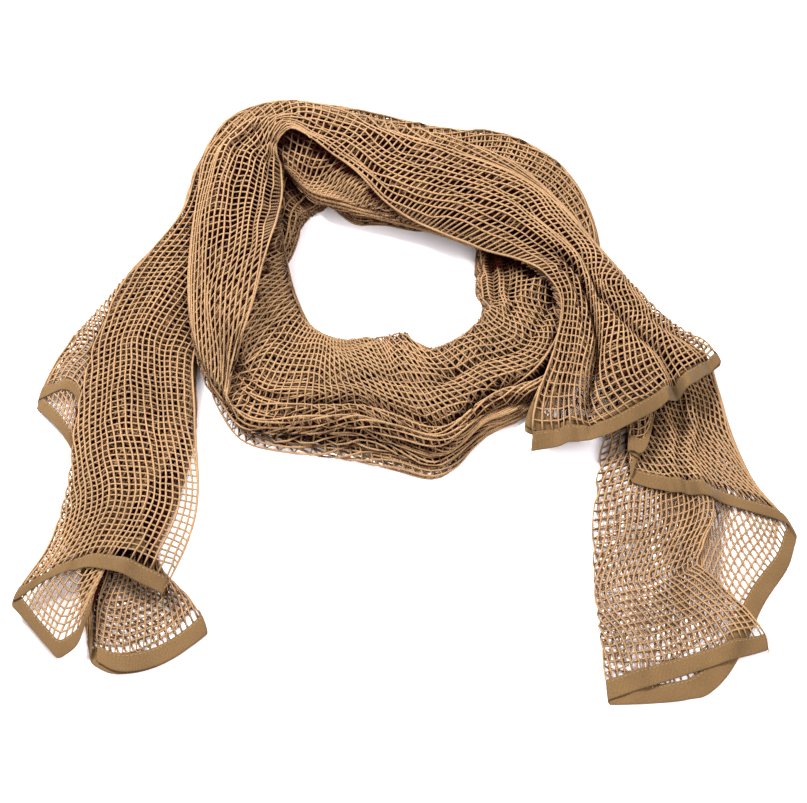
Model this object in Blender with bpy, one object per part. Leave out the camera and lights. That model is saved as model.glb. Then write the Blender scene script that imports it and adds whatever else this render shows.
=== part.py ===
"""Camouflage net scarf, lying on a surface in one and a half turns.

One panel of open net is gathered lengthwise into nine panels, folded back and forth on each
other like a fan.  The bundle starts at the left tail's hem, goes once round the neck opening,
passes over its own start, down the left limb, and leaves at the right as the second tail.
Each short end of the net is bound with woven tape.

Everything is worked out in millimetres and written to the meshes in metres.  The surface is
level at z = 0, and the origin is below the middle of the part's box.
"""

import bpy
import numpy as np

MM = 0.001

# Driving dimensions, in millimetres
CLOTH_LENGTH = 1800.0      # the net panel with its two bindings, end to end
BINDING_WIDTH = 14.0       # the woven tape at each short end
NET_THICKNESS = 1.2
BINDING_THICKNESS = 1.4
PIECE_GAP = 0.95           # between the net's cut ends and their bindings
END_FADE = 200.0           # length of cloth over which a tail opens out towards its hem
CROWN_REACH = 1.4          # where the crown over the bundle ends, in half widths
CROWN_ROUNDNESS = 0.75     # power of the crown's parabola: 1 is a parabola, 0.5 an ellipse
SINK_START = 1.3           # cloth further out than this, in half widths, sinks to the surface,
SINK_REACH = 0.5           # within this much more
LEFT_HEM_AT = 50.0         # where the hems lie along the path, before they slant and bow
RIGHT_HEM_AT = 1690.0
SLANT_FADE = 2             # powers by which a hem's slant and bow fade along the cloth
BOW_FADE = 6
INNER_TUCK = 0.15          # the last selvedge stays this far inside the fold above it
BOX_CENTRE_X = 2.6         # middle of the part's box, in the sections table's own x and y
BOX_CENTRE_Y = 0.4
PROBE_LENGTH = 0.5         # a short way along the cloth, and across a panel, to find slopes
PROBE_SHARE = 0.005

# How finely the solids follow the cloth
NET_ROWS = 66
BINDING_ROWS = 2
PANEL_STEPS = (7, 6, 5, 5, 1, 1, 3, 4, 3)

# Level of each panel in the stack, from 0 on the surface to 8 on top
PANEL_LEVEL = np.array([8, 7, 6, 5, 4, 3, 2, 0, 1])
PANELS = len(PANEL_LEVEL)
TOP_LEVEL = PANEL_LEVEL.max()

# The bundle's path.  A row is one cross section: where its left and right edges lie, seen along
# the path, and how high each edge is carried by what the bundle passes over.
SECTIONS = np.array([
    # name        left_x left_y left_rise right_x right_y right_rise
    ("tail_end",    -308, -215,  0,  -153, -225,  0),
    ("tail_hem",    -302, -171,  0,  -162, -172,  0),
    ("tail_a",      -278, -130,  0,  -163, -126,  0),
    ("tail_b",      -267,  -88,  0,  -164,  -84,  0),
    ("tail_c",      -262,  -20,  0,  -165,  -20,  0),
    ("tail_d",      -249,   49,  0,  -164,   40,  0),
    ("under_a",     -232,   93,  0,  -142,   71,  0),
    ("under_b",     -182,  166,  0,   -93,  123,  0),
    ("under_c",     -171,  205,  0,   -82,  154,  0),
    ("under_d",     -147,  247,  0,   -74,  163,  0),
    ("top_a",       -109,  263,  0,   -61,  167,  0),
    ("top_b",        -65,  260,  0,   -43,  160,  0),
    ("top_c",        -16,  249,  0,    -3,  151,  0),
    ("top_d",         38,  237,  0,    34,  145,  0),
    ("turn_a",        88,  231,  0,    57,  135,  0),
    ("turn_b",       128,  206,  0,    59,  125,  0),
    ("turn_c",       154,  160,  0,    58,  111,  0),
    ("turn_d",       159,   97,  0,    58,   97,  0),
    ("turn_e",       148,   40,  0,    60,   86,  0),
    ("turn_f",       120,    0,  0,    63,   78,  0),
    ("bottom_a",      83,  -18,  0,    62,   70,  0),
    ("bottom_b",      22,  -68,  0,    19,   44,  0),
    ("bottom_c",      -6,  -61,  0,    -3,   48,  0),
    ("bottom_d",     -39,  -53,  0,   -26,   54,  0),
    ("bottom_e",     -75,  -48,  0,   -48,   51,  0),
    ("corner_a",    -132,  -33,  0,   -77,   66,  0),
    ("corner_b",    -146,  -13,  6,   -85,   80,  8),
    ("limb_a",      -168,   39, 25,   -97,  125, 25),
    ("limb_b",      -173,   81, 26,   -98,  144, 26),
    ("limb_c",      -172,  122, 26,   -98,  160, 26),
    ("limb_d",      -168,  164, 26,   -98,  178, 26),
    ("limb_e",      -159,  209, 26,   -94,  189, 26),
    ("over_a",      -137,  235, 26,   -88,  181, 26),
    ("over_b",      -108,  250, 26,   -76,  167, 26),
    ("over_c",       -67,  248, 26,   -48,  157, 26),
    ("over_d",       -26,  236, 26,   -23,  151, 26),
    ("over_e",        52,  213, 26,    32,  135, 26),
    ("over_f",        92,  193, 26,    63,  123, 26),
    ("over_g",       128,  160, 26,    97,  112, 26),
    ("over_h",       157,  122, 26,   125,   98, 29),
    ("fan_a",        213,   56, 10,   146,   35, 32),
    ("fan_b",        242,   34,  3,   154,    0, 23),
    ("right_a",      250,    6,  2,   158,  -31,  9),
    ("right_b",      259,  -34,  1,   153,  -64,  2),
    ("right_c",      274,  -73,  0,   149,  -96,  0),
    ("right_d",      296, -103,  0,   148, -130,  0),
    ("right_e",      310, -134,  0,   149, -167,  0),
    ("right_f",      308, -175,  0,   153, -207,  0),
    ("right_g",      297, -215,  0,   157, -251,  0),
    ("right_end",    284, -251,  0,   161, -282,  0),
], dtype=[("name", "U10"), ("left_x", float), ("left_y", float), ("left_rise", float),
          ("right_x", float), ("right_y", float), ("right_rise", float)])

# How the panels are packed along the path: height of the crown over the stack, step from one
# panel to the next, and how far the top panel's folds draw in from the left and right edges,
# as a share of the half width.
PACKING = np.array([
    # at, crown, step, left_tuck, right_tuck
    (0,     3, 1.8, .03, .03),
    (50,    5, 1.8, .03, .03),
    (180,   8, 2.1, .06, .06),
    (270,   4, 2.1, .10, .10),
    (400,   3, 2.3, .12, .12),
    (740,   3, 2.3, .12, .12),
    (820,   7, 2.5, .28, .12),
    (900,  13, 2.5, .42, .12),
    (975,  13, 2.5, .40, .12),
    (1020, 12, 2.3, .18, .10),
    (1090, 11, 2.3, .05, .05),
    (1230, 12, 2.3, .05, .12),
    (1290, 12, 2.3, .05, .15),
    (1420, 12, 2.3, .05, .06),
    (1545, 11, 2.3, .05, .05),
    (1615,  8, 2.6, .05, .05),
    (1750,  6, 1.8, .03, .04),
    (1900,  3, 1.8, .03, .03),
], dtype=[("at", float), ("crown", float), ("step", float),
          ("left_tuck", float), ("right_tuck", float)])

# Where the top panel's free selvedge lies across the bundle: -1 is its left edge, 1 its right.
SELVEDGE = np.array([
    (0, .85), (430, .80), (514, .60), (607, .30), (704, -.30), (803, -.50), (975, -.52),
    (1021, -.75), (1041, -.80), (1092, 0), (1123, .59), (1151, .85), (1182, .93), (1210, .80),
    (1247, .10), (1282, .08), (1350, .66), (1386, .88), (1467, .93), (1505, 1.15),
    (1537, 1.52), (1575, 1.85), (1599, 2.08), (1623, 2.29),
], dtype=[("at", float), ("across", float)])

# The folds between the panels, the two selvedges first and last: the edge of the bundle that
# each one follows, and where it meets the left and the right hem.
FOLDS = np.array([
    # side, left_at, left_across, right_at, right_across
    (+1,  54,   .71, 1623,  2.29),
    (-1,  46, -1.00, 1626, -1.13),
    (+1,  37,  -.12, 1652,  1.02),
    (-1, 220, -1.70, 1646,   .29),
    (+1,  85,   .30, 1658,   .48),
    (-1,  80,  -.30, 1674,   .22),
    (+1,  60,   .50, 1692,   .52),
    (-1,   3,  -.15, 1766, -1.05),
    (+1,  31,  1.10, 1866,  1.00),
    (-1,  28,  1.00, 1856,  -.79),
], dtype=[("side", float), ("left_at", float), ("left_across", float),
          ("right_at", float), ("right_across", float)])

# How far the middle of each panel's hem is bowed along the path, left end and right end
LEFT_BOW = np.array([30, -41, 80, 0, 0, 0, 0, -15, 0])
RIGHT_BOW = np.array([18, 5, 0, 0, 0, 0, -9, 65, 0])

PATH_X = (SECTIONS["left_x"] + SECTIONS["right_x"]) / 2
PATH_Y = (SECTIONS["left_y"] + SECTIONS["right_y"]) / 2
SECTION_AT = np.append(0, np.cumsum(np.hypot(np.diff(PATH_X), np.diff(PATH_Y))))

# Levels of the two panels that meet at each fold.  A selvedge has one panel, counted twice.
# Cloth that stands out at a fold sinks by the level of the lower one.
LEVEL_BEFORE = np.append(PANEL_LEVEL[0], PANEL_LEVEL)
LEVEL_AFTER = np.append(PANEL_LEVEL, PANEL_LEVEL[-1])
FOLD_LEVEL = (LEVEL_BEFORE + LEVEL_AFTER) / 2
SINK_LEVEL = np.minimum(LEVEL_BEFORE, LEVEL_AFTER)


def smooth(x):
    """0 below 0, 1 above 1, and an S between them: 3x^2 - 2x^3."""
    x = np.clip(x, 0, 1)
    return x * x * (3 - 2 * x)


def along(places, values, at):
    """A cubic through every row, as steep there as the parabola through it and its neighbours."""
    slopes = np.gradient(values, places)
    row = np.clip(np.searchsorted(places, at, side="right") - 1, 0, len(places) - 2)
    span = places[row + 1] - places[row]
    f = (np.clip(at, places[0], places[-1]) - places[row]) / span
    return ((1 + 2 * f) * (1 - f) ** 2 * values[row] + f * (1 - f) ** 2 * span * slopes[row]
            + f * f * (3 - 2 * f) * values[row + 1] - f * f * (1 - f) * span * slopes[row + 1])


def packed(column, at):
    """One column of the packing table at a place along the path."""
    return along(PACKING["at"], PACKING[column], at)


def section(column, at):
    """One column of the sections table at a place along the path."""
    return along(SECTION_AT, SECTIONS[column], at)


def fold_across(fold, at, s):
    """Where a fold lies across the bundle, in half widths from its middle.

    Between the tails it follows its edge, drawn in by the tuck times its level squared, or by
    the selvedge table for the top panel's free edge.  Towards a hem it blends to its place there.
    """
    side = FOLDS["side"][fold]
    tuck = np.where(side < 0, packed("left_tuck", at), packed("right_tuck", at))
    tuck = tuck * (FOLD_LEVEL[fold] / TOP_LEVEL) ** 2 + INNER_TUCK * (fold == PANELS)
    selvedge = along(SELVEDGE["at"], SELVEDGE["across"], at)
    across = np.where(fold == 0, selvedge, side * (1 - tuck))
    left = smooth(1 - s / END_FADE)
    right = smooth(1 - (CLOTH_LENGTH - s) / END_FADE)
    return (across * (1 - left - right) + FOLDS["left_across"][fold] * left
            + FOLDS["right_across"][fold] * right)


def cloth(s, panel, u, thickness):
    """Middle of a sheet of the given thickness, as x, y, z in millimetres.

    s runs along the cloth's length, and u from 0 to 1 across a panel, from fold to fold.
    Heights are the panel's level in steps, plus a crown that grows with the level, so that no
    panel crosses the next.  Where cloth stands out past the bundle, it sinks to the surface.
    """
    first, second = FOLDS[panel], FOLDS[panel + 1]
    share = s / CLOTH_LENGTH
    bow = 4 * u * (1 - u)
    left_slant = first["left_at"] * (1 - u) + second["left_at"] * u - LEFT_HEM_AT
    right_slant = first["right_at"] * (1 - u) + second["right_at"] * u - RIGHT_HEM_AT
    at = (LEFT_HEM_AT * (1 - share) + RIGHT_HEM_AT * share
          + left_slant * (1 - share) ** SLANT_FADE + right_slant * share ** SLANT_FADE
          + LEFT_BOW[panel] * bow * (1 - share) ** BOW_FADE
          + RIGHT_BOW[panel] * bow * share ** BOW_FADE)
    across = fold_across(panel, at, s) * (1 - u) + fold_across(panel + 1, at, s) * u

    step = packed("step", at)
    crown = np.maximum(1 - (across / CROWN_REACH) ** 2, 0) ** CROWN_ROUNDNESS
    height = PANEL_LEVEL[panel] * (step + packed("crown", at) * crown / TOP_LEVEL)
    outer_fold = np.where(across * first["side"] > 0, panel, panel + 1)
    height -= step * SINK_LEVEL[outer_fold] * smooth((np.abs(across) - SINK_START) / SINK_REACH)

    left_x, left_y, left_rise = (section("left_" + axis, at) for axis in ("x", "y", "rise"))
    right_x, right_y, right_rise = (section("right_" + axis, at) for axis in ("x", "y", "rise"))
    inside = np.clip(across, -1, 1)
    rise = (left_rise + right_rise) / 2 + inside * (right_rise - left_rise) / 2
    x = (left_x + right_x) / 2 + across * (right_x - left_x) / 2 - BOX_CENTRE_X
    y = (left_y + right_y) / 2 + across * (right_y - left_y) / 2 - BOX_CENTRE_Y
    z = thickness / 2 + np.maximum(rise, 0) + height
    return np.stack([x, y, z], -1)


def unit(vectors):
    """The same directions, each of length one."""
    return vectors / np.linalg.norm(vectors, axis=-1, keepdims=True)


def facing(s, panel, u, thickness):
    """Direction from the cloth's middle to its front, one half thickness long.

    Inside a panel it is the unit normal.  At a fold the cloth stands upright from one panel to
    the next, so the upright's unit normal is added, which gives the corner between the two.
    """
    along_s = (cloth(s + PROBE_LENGTH, panel, u, thickness)
               - cloth(s - PROBE_LENGTH, panel, u, thickness))
    across_u = (cloth(s, panel, u + PROBE_SHARE, thickness)
                - cloth(s, panel, u - PROBE_SHARE, thickness))
    fold = np.where(u < 0.5, panel, panel + 1)
    climb = np.sign(LEVEL_AFTER - LEVEL_BEFORE)[fold] * ((u == 0) | (u == 1))
    upright = unit(np.cross(along_s, [0, 0, 1])) * climb[..., None]
    return unit(np.cross(along_s, across_u)) + upright


def length_of_gap(s, panel, u):
    """The gap between net and binding along the yarns, longer where they meet at a slant."""
    yarn = unit(cloth(s + PROBE_LENGTH, panel, u, 0) - cloth(s - PROBE_LENGTH, panel, u, 0))
    hem = unit(cloth(s, panel, u + PROBE_SHARE, 0) - cloth(s, panel, u - PROBE_SHARE, 0))
    return PIECE_GAP / np.linalg.norm(np.cross(yarn, hem), axis=-1)


def columns():
    """Panel and place in it of each column of points: every fold twice, and even steps between."""
    panel = np.repeat(np.arange(PANELS), np.array(PANEL_STEPS) + 1)
    u = np.concatenate([np.linspace(0, 1, steps + 1) for steps in PANEL_STEPS])
    return panel, u


def fabric(name, colour, roughness):
    """A woven fabric's material."""
    material = bpy.data.materials.new(name)
    material.use_nodes = True
    shader = material.node_tree.nodes["Principled BSDF"]
    shader.inputs["Base Color"].default_value = (*colour, 1)
    shader.inputs["Roughness"].default_value = roughness
    shader.inputs["Metallic"].default_value = 0
    return material


def sheet(name, start, end, rows, thickness, material):
    """A solid sheet of the cloth from one place along its length to another.

    start and end may be one value or one for each column.  Front and back are grids half the
    thickness either side of the cloth's middle, split along the same diagonals so that they stay
    apart, and a rim joins them all round.
    """
    panel, u = columns()
    share = np.linspace(0, 1, rows)[:, None]
    s = (start * (1 - share) + end * share) + 0 * u
    panel, u = np.broadcast_arrays(panel, u + 0 * s)
    middle = cloth(s, panel, u, thickness)
    half = facing(s, panel, u, thickness) * thickness / 2
    points = np.concatenate([(middle + half).reshape(-1, 3), (middle - half).reshape(-1, 3)]) * MM

    corner = np.arange(s.size).reshape(s.shape)
    one, two = corner[:-1, :-1].ravel(), corner[1:, :-1].ravel()
    three, four = corner[1:, 1:].ravel(), corner[:-1, 1:].ravel()
    front = np.concatenate([np.stack([one, two, three], -1), np.stack([one, three, four], -1)])
    edge = np.concatenate([corner[:-1, 0], corner[-1, :-1], corner[:0:-1, -1], corner[0, :0:-1]])
    next_on_edge = np.roll(edge, -1)
    rim = np.concatenate([np.stack([next_on_edge, edge, edge + s.size], -1),
                          np.stack([next_on_edge, edge + s.size, next_on_edge + s.size], -1)])
    faces = np.concatenate([front, front[:, ::-1] + s.size, rim])

    mesh = bpy.data.meshes.new(name)
    mesh.from_pydata(points.tolist(), [], faces.tolist())
    mesh.materials.append(material)
    mesh.shade_smooth()
    mesh.set_sharp_from_angle(angle=np.radians(60))
    bpy.context.scene.collection.objects.link(bpy.data.objects.new(name, mesh))


def main():
    for old in list(bpy.data.objects):
        bpy.data.objects.remove(old)
    yarn = fabric("tan_net", (0.48, 0.29, 0.13), 0.85)
    tape = fabric("olive_tape", (0.26, 0.17, 0.07), 0.9)
    left_seam, right_seam = BINDING_WIDTH, CLOTH_LENGTH - BINDING_WIDTH
    net_start = left_seam + length_of_gap(left_seam, *columns())
    net_end = right_seam - length_of_gap(right_seam, *columns())
    sheet("net", net_start, net_end, NET_ROWS, NET_THICKNESS, yarn)
    sheet("binding_left", 0, left_seam, BINDING_ROWS, BINDING_THICKNESS, tape)
    sheet("binding_right", right_seam, CLOTH_LENGTH, BINDING_ROWS, BINDING_THICKNESS, tape)


main()
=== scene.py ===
"""Camouflage net scarf: the yarns of its net, its two taped ends, and a studio to show it in.

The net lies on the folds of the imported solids: one panel of open netting in nine layers, folded
back and forth lengthwise, once and a half round the neck opening.  Lengths in the tables are in
millimetres, as the solids' own driving dimensions are, and meshes are written in metres.
"""

import math

import bpy
import numpy as np
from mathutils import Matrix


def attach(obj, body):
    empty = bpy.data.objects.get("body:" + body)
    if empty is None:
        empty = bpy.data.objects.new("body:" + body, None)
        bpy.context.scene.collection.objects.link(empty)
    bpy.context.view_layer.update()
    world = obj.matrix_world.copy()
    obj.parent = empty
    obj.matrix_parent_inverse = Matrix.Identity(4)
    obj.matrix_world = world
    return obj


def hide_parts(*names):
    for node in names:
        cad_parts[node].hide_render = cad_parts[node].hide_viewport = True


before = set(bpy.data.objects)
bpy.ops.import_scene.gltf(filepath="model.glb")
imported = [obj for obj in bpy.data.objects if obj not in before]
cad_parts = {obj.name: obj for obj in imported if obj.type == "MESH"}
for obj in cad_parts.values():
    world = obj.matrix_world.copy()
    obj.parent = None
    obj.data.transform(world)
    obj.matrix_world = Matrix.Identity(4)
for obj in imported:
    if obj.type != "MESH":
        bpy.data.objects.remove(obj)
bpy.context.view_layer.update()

bl_info = {
    "name": "Net Scarf",
    "version": (1, 0, 0),
    "blender": (4, 5, 0),
    "location": "View3D > Sidebar > Net Scarf",
    "description": "Builds the yarns and taped ends of a camouflage net scarf on its folded solids",
    "category": "Object",
}

MM = 0.001


def table(columns, rows):
    """Rows of numbers as a table with named columns."""
    return np.array(rows, dtype=[(name, float) for name in columns.split()])


# The cloth, in millimetres
CLOTH_LENGTH = 1800.0
CLOTH_WIDTH = 912.0
BINDING_WIDTH = 14.0
MESHES_ALONG = 300       # cells between the cross yarns, from hem to hem
MESHES_ACROSS = 190      # cells between the lengthwise yarns, from selvedge to selvedge
NET_PIECES = 5           # strips that the net's mesh is kept in, side by side
CELL_SAMPLES = 2         # samples of the cloth to each cell, to measure along its folds
SAMPLED_ROWS = 7         # cross yarns over which what is measured so is evened out
OPEN_PANELS = 2          # the first panels, which lie on top and are never crowded

# How the bundle lies, as in the solids
END_FADE = 200.0         # cloth before a hem in which the folds turn to their places there
CROWN_REACH = 1.4        # where the crown ends, in half widths of the bundle
CROWN_ROUNDNESS = 0.75   # power of the crown's cross section
TAPER_START = 0.4        # half widths from the middle where the stack starts to thin
DROOP = 0.25             # how much of their rise the edges lose
SINK_START = 1.3         # half widths from the middle where an overhang starts to sink,
SINK_REACH = 0.5         # and over how many it does
LEFT_HEM_AT = 50.0       # the hems' mean places along the path
RIGHT_HEM_AT = 1690.0
SLANT_FADE = 2           # powers by which a hem's slant and its bow fade along the cloth
BOW_FADE = 6
BOX_CENTRE_X = 2.6       # middle of the solids' box, from where the sections are measured
BOX_CENTRE_Y = 0.4
CLEARANCE = 1.1          # from the surface to the middle of the lowest layer
SECTION_RUN_ON = 20.0    # how far past the first and last sections the bundle may run on
PLEAT_FADE = 40.0        # length over which a pleat rises at each end
FLATTEST_STACK = 6.0     # a trough presses the layers no flatter than this
FOLD_SHARE = 0.07        # share of a panel that turns the corner at a fold
FOLD_SQUEEZE = 0.7       # a fold's reach sideways, against half its height
LEAD_STEPS = 2           # times that the cross yarns' lead and their place settle each other
LEANING_PANEL = 7        # this panel's yarns lean to its second fold before the right hem,
LEAN = 0.26              # by this share of the panel,
LEAN_REACH = 80.0        # most of all at this distance from the hem

# Level of each panel in the stack, from the top selvedge's panel on
PANEL_LEVEL = np.array([8, 7, 6, 5, 4, 3, 2, 0, 1])
PANELS = len(PANEL_LEVEL)
TOP_LEVEL = PANEL_LEVEL.max()

# One row for each cross section of the bundle: where its left and right edges lie, and how high
# each is carried by what it passes over
SECTIONS = table("left_x left_y left_rise right_x right_y right_rise", [
    (-308, -215,  0,  -153, -225,  0),   # left tail's hem
    (-302, -171,  0,  -162, -172,  0),
    (-278, -130,  0,  -163, -126,  0),
    (-267,  -88,  0,  -164,  -84,  0),
    (-262,  -20,  0,  -165,  -20,  0),
    (-249,   49,  0,  -164,   40,  0),
    (-232,   93,  0,  -142,   71,  0),   # under the limb
    (-182,  166,  0,   -93,  123,  0),
    (-171,  205,  0,   -82,  154,  0),
    (-147,  247,  0,   -74,  163,  0),
    (-109,  263,  0,   -61,  167,  0),   # top, first time round
    ( -65,  260,  0,   -43,  160,  0),
    ( -16,  249,  0,    -3,  151,  0),
    (  38,  237,  0,    34,  145,  0),
    (  88,  231,  0,    57,  135,  0),   # turn at the right
    ( 128,  206,  0,    59,  125,  0),
    ( 154,  160,  0,    58,  111,  0),
    ( 159,   97,  0,    58,   97,  0),
    ( 148,   40,  0,    60,   86,  0),
    ( 120,    0,  0,    63,   78,  0),
    (  83,  -18,  0,    62,   70,  0),   # bottom
    (  22,  -68,  0,    19,   44,  0),
    (  -6,  -61,  0,    -3,   48,  0),
    ( -39,  -53,  0,   -26,   54,  0),
    ( -75,  -48,  0,   -48,   51,  0),
    (-132,  -33,  0,   -77,   66,  0),   # corner at the left
    (-146,  -13,  6,   -85,   80,  8),
    (-168,   39, 25,   -97,  125, 25),   # limb, over the left tail
    (-173,   81, 26,   -98,  144, 26),
    (-172,  122, 26,   -98,  160, 26),
    (-168,  164, 26,   -98,  178, 26),
    (-159,  209, 26,   -94,  189, 26),
    (-137,  235, 26,   -88,  181, 26),   # top, second time round
    (-108,  250, 26,   -76,  167, 26),
    ( -67,  248, 26,   -48,  157, 26),
    ( -26,  236, 26,   -23,  151, 26),
    (  52,  213, 26,    32,  135, 26),
    (  92,  193, 26,    63,  123, 26),
    ( 128,  160, 26,    97,  112, 26),
    ( 157,  122, 26,   125,   98, 29),
    ( 213,   56, 10,   146,   35, 32),   # fan
    ( 242,   34,  3,   154,    0, 23),
    ( 250,    6,  2,   158,  -31,  9),   # right tail
    ( 259,  -34,  1,   153,  -64,  2),
    ( 274,  -73,  0,   149,  -96,  0),
    ( 296, -103,  0,   148, -130,  0),
    ( 310, -134,  0,   149, -167,  0),
    ( 308, -175,  0,   153, -207,  0),
    ( 297, -215,  0,   157, -251,  0),
    ( 284, -251,  0,   161, -282,  0),
])

# How the panels are packed along the path
PACKING = table("at crown step taper left_tuck right_tuck hollow", [
    (0,     3, 1.8, .3, .03, .03, 0),
    (50,    5, 1.8, .3, .03, .03, 0),
    (180,   8, 2.1, .3, .06, .06, .10),
    (270,   4, 2.1, .1, .10, .10, .10),
    (400,   3, 2.3, .1, .12, .12, .0),
    (740,   3, 2.3, .3, .12, .12, .0),
    (820,   7, 2.5, .4, .28, .12, .10),
    (900,  13, 2.5, .5, .42, .12, .25),
    (975,  13, 2.5, .5, .40, .12, .25),
    (1020, 12, 2.3, .5, .18, .10, .25),
    (1090, 11, 2.3, .4, .05, .05, .30),
    (1230, 12, 2.3, .4, .05, .12, .30),
    (1290, 12, 2.3, .4, .05, .15, .30),
    (1420, 12, 2.3, .4, .05, .06, .30),
    (1545, 11, 2.3, .4, .05, .05, .25),
    (1615,  8, 2.6, .3, .05, .05, .10),
    (1750,  6, 1.8, .2, .03, .04, 0),
    (1900,  3, 1.8, .2, .03, .03, 0),
])

# Where the two selvedges lie across the bundle: the top panel's, and the last panel's
TOP_SELVEDGE = table("at across", [
    (0, .60), (48, .64), (60, .70), (91, .88), (110, .98), (205, .98), (430, .80), (514, .60),
    (607, .30), (704, -.30), (803, -.50), (975, -.52), (1021, -.75), (1041, -.80), (1052, -.35),
    (1064, .12), (1082, .50), (1105, .76), (1140, .94), (1182, .96), (1210, .78), (1247, -.08),
    (1265, .12), (1298, .48), (1321, .78), (1364, 1.06), (1425, 1.18), (1480, 1.26),
    (1508, 1.48), (1537, 1.52), (1575, 1.80), (1599, 2.08), (1634, 2.25),
])
LAST_SELVEDGE = table("at across", [
    (-20, -.08), (20, -.08), (50, -.08), (80, -.10), (110, -.20), (160, -.60),
    (240, -.85), (300, -.85), (1580, -.85), (1640, -.85), (1685, -.55), (1706, -.42),
    (1729, -.41), (1744, -.29), (1755, -.16), (1765, -.08), (1774, 0), (1779, 0), (1785, -.09),
    (1794, -.19), (1804, -.29), (1816, -.43), (1830, -.56), (1845, -.69), (1856, -.74),
])

# The folds between the panels, the two selvedges first and last: where each meets the hems
FOLDS = table("side left_at left_across right_at right_across", [
    (+1,  48,   .64, 1634,  2.25),
    (-1,  46, -1.00, 1626, -1.13),
    (+1,  37,  -.12, 1618,  2.40),
    (-1, 220, -1.70, 1648,   .14),
    (+1,  85,   .50, 1672,   .56),
    (-1, 110,  -.92, 1680,   .40),
    (+1,  66,  -.08, 1694,   .51),
    (-1,   3,  -.15, 1766, -1.05),
    (+1,  31,  1.10, 1866,  1.00),
    (-1,   5,  -.08, 1856,  -.78),
])

# How far each hem bows out along the path from the straight line between its two folds: for a
# panel, shares of its width and the bow there, which is 0 at both folds
LEFT_HEM = {
    0: [(.2, 10), (.35, 18), (.5, 24), (.65, 26), (.8, 17), (.93, 0)],
    1: [(.2, -12), (.35, -24), (.5, -36), (.6, -43), (.7, -38), (.8, -29), (.93, -4)],
    2: [(.5, 80)],
    3: [(.35, 5), (.57, -21), (.8, -21)],
    7: [(.2, -16), (.35, -19), (.5, -18), (.65, -14), (.8, -8)],
    8: [(.2, -8), (.35, -14), (.5, -18), (.65, -19), (.8, -16)],
}
RIGHT_HEM = {
    0: [(.2, 9), (.35, 20), (.5, 23), (.65, 20), (.8, 12), (.93, 2)],
    1: [(.2, 11), (.35, 20), (.5, 26), (.65, 25), (.8, 15), (.93, 1)],
    2: [(.2, 5), (.5, 8), (.8, 4)],
    3: [(.3, 18), (.6, 15), (.8, 6)],
    6: [(.2, -3), (.5, -10), (.8, -11), (.93, -7)],
    7: [(.07, -4), (.14, 10), (.25, 28), (.34, 62), (.44, 70), (.55, 60), (.72, 39), (.86, 20)],
}

# How the yarns run along the path: how far the cross yarns lead at the bundle's right edge, how
# far the lengthwise yarns have strayed to the left, in panels, and how much closer the yarns lie
# in the panels under the open ones
COURSE = table("at lead stray crowding", [
    (0, 0, 0, 1), (200, 0, 0, 1.1), (400, 0, 0, 1.25), (600, 0, 0, 1.3), (760, 10, .08, 1.3),
    (860, 42, .14, 1.2), (930, 34, 0, 1.2), (1010, 6, -.12, 1.4), (1060, 0, 0, 1.5),
    (1130, -14, .12, 1.5), (1220, -16, .05, 1.5), (1300, -30, -.20, 1.5), (1390, -34, 0, 1.5),
    (1470, -30, .18, 1.5), (1550, -12, .10, 1.3), (1620, 0, 0, 1.1), (1690, 0, 0, 1.1),
    (1900, 0, 0, 1.1),
])

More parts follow.
